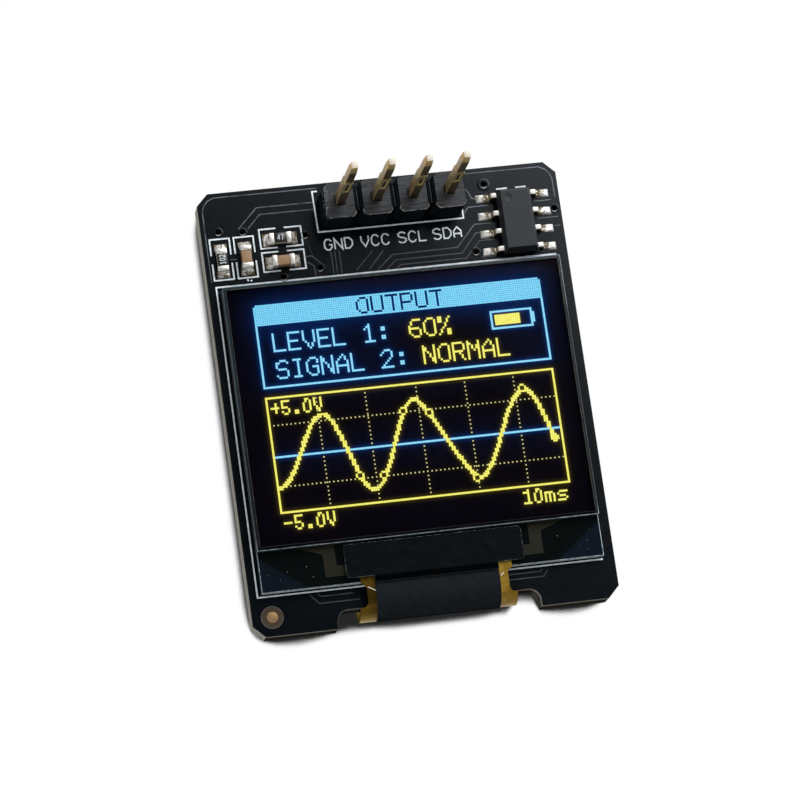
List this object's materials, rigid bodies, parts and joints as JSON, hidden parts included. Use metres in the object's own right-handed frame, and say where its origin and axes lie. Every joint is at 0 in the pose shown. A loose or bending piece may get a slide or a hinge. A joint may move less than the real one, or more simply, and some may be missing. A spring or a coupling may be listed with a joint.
{
  "type": "oled display module",
  "caption": "Small graphic display module: glass panel glued to a notched circuit board, joined by a flex folded round the lower edge, with a pin header along the top.",
  "frame": {"origin": "under the middle of the circuit board, level with the ends of the pin tails, which are the lowest points", "axes": "+X to the right of the display, +Y towards the pin header, +Z out of the display's face"},
  "size_m": [0.0252, 0.031, 0.0133],
  "materials": {
    "board_mask": "satin black solder mask on a pale glass-fibre laminate",
    "bare_copper": "bare satin copper",
    "header_plastic": "satin black moulded plastic",
    "pin_brass": "gold-flashed brass",
    "solder": "bright reflowed tin",
    "package_epoxy": "fine-grained moulded epoxy",
    "lead_tin": "matt tin plate",
    "resistor_ceramic": "unglazed white ceramic",
    "resistor_overcoat": "glossy black overcoat",
    "capacitor_ceramic": "unglazed tan ceramic",
    "adhesive_tape": "white double-sided tape",
    "panel_glass": "polished thin glass with a dark backing",
    "seal_resin": "cured resin",
    "emitter_film": "near-black film with lit dots",
    "polarizer_film": "glossy dark film",
    "trace_metal": "thin olive metal film",
    "bare_silicon": "polished silicon",
    "black_tape": "satin black tape",
    "amber_film": "clear amber film",
    "black_coverlay": "satin black coverlay"
  },
  "bodies": {
    "root": {"circuit_board": "board_mask", "fiducial_pad": "bare_copper", "header_housing": "header_plastic", "header_pin_1": "pin_brass", "header_pin_2": "pin_brass", "header_pin_3": "pin_brass", "header_pin_4": "pin_brass", "header_solder": "solder", "ic_body": "package_epoxy", "ic_leads": "lead_tin", "ic_solder": "solder", "resistor_1": "resistor_ceramic", "resistor_2": "resistor_ceramic", "resistor_glaze": "resistor_overcoat", "resistor_terminals": "lead_tin", "capacitor_1": "capacitor_ceramic", "capacitor_2": "capacitor_ceramic", "capacitor_terminals": "lead_tin", "chip_solder": "solder", "panel_adhesive": "adhesive_tape", "rear_glass": "panel_glass", "edge_seal": "seal_resin", "emitter_layer": "emitter_film", "cover_glass": "panel_glass", "polarizer": "polarizer_film", "contact_traces": "trace_metal", "driver_chip": "bare_silicon", "driver_tape": "black_tape", "flex_film": "amber_film", "flex_coverlay": "black_coverlay", "flex_solder": "solder"}
  },
  "joints": []
}
